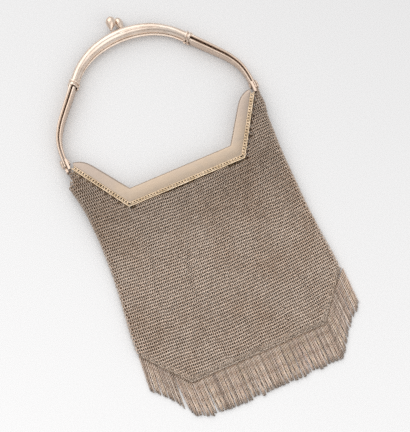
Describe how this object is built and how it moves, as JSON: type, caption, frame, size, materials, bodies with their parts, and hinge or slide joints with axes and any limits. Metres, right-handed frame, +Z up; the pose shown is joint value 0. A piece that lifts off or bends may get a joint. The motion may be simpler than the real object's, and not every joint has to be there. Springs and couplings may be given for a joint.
{
  "type": "metal mesh purse",
  "caption": "Evening purse of ring mesh with a chain fringe, hung from pierced metal jaws under an arched scissor frame with a kiss clasp, lying on its back.",
  "frame": {"origin": "middle of the footprint, on the surface that the purse lies on", "axes": "+X runs across the purse, +Y points from the fringe to the clasp, +Z points up from the surface, out of the purse's front"},
  "size_m": [0.1558, 0.2938, 0.0115],
  "materials": {
    "frame_metal": "polished silver with a warm tone on the arch, satin on the jaws",
    "rod_metal": "bright lacing wire with a pale golden tone",
    "mesh_metal": "aged silver rings, darker between them",
    "hem_metal": "small dense rings with a grey patina",
    "fringe_metal": "fine chains with a rosy tone and darker tips"
  },
  "bodies": {
    "root": {"frame_front": "frame_metal", "frame_back": "frame_metal", "hinge_pin_left": "frame_metal", "hinge_pin_right": "frame_metal", "clasp_knob_front": "frame_metal", "clasp_knob_back": "frame_metal", "jaw_rod_front": "rod_metal", "jaw_rod_back": "rod_metal", "mesh_bag": "mesh_metal", "hem_band": "hem_metal", "fringe_left": "fringe_metal", "fringe_bottom": "fringe_metal", "fringe_right": "fringe_metal"}
  },
  "joints": []
}
